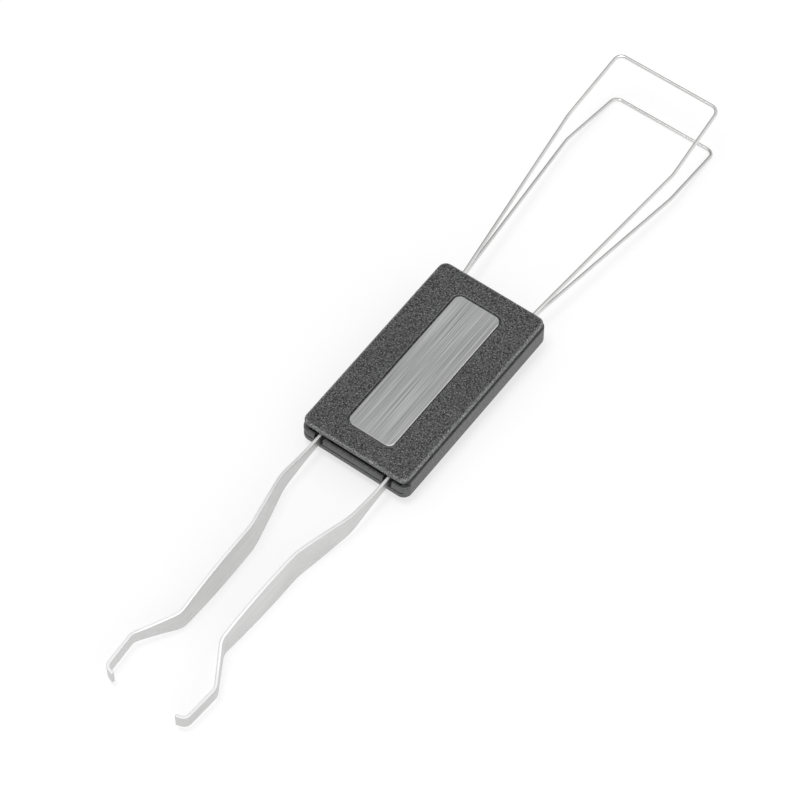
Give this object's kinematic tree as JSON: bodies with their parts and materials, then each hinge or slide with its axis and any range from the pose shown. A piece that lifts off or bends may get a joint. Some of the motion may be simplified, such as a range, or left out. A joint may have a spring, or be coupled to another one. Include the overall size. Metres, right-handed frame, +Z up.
{
  "type": "keycap and switch puller",
  "caption": "Flat hand tool: a slim two-shell grip with an inlaid plate, splayed wire loops at one end for keycaps and sprung hooked jaws at the other for key switches.",
  "frame": {"origin": "middle of the flat underside of the grip", "axes": "+Y along the tool to the wire loops, -Y to the jaws, +Z up, normal to the grip and its inlaid plate"},
  "size_m": [0.0198, 0.1291, 0.0112],
  "materials": {
    "cover_top": "coarse spark-eroded grain",
    "cover_base": "fine satin grain",
    "plate": "brushed lengthwise, low bevelled edge",
    "wire": "drawn spring wire, bright",
    "spring": "satin spring strip with polished edges"
  },
  "bodies": {
    "root": {"upper_cover": "cover_top", "lower_cover": "cover_base", "inlay_plate": "plate", "upper_wire_loop": "wire", "lower_wire_loop": "wire", "jaw_spring": "spring"}
  },
  "joints": []
}
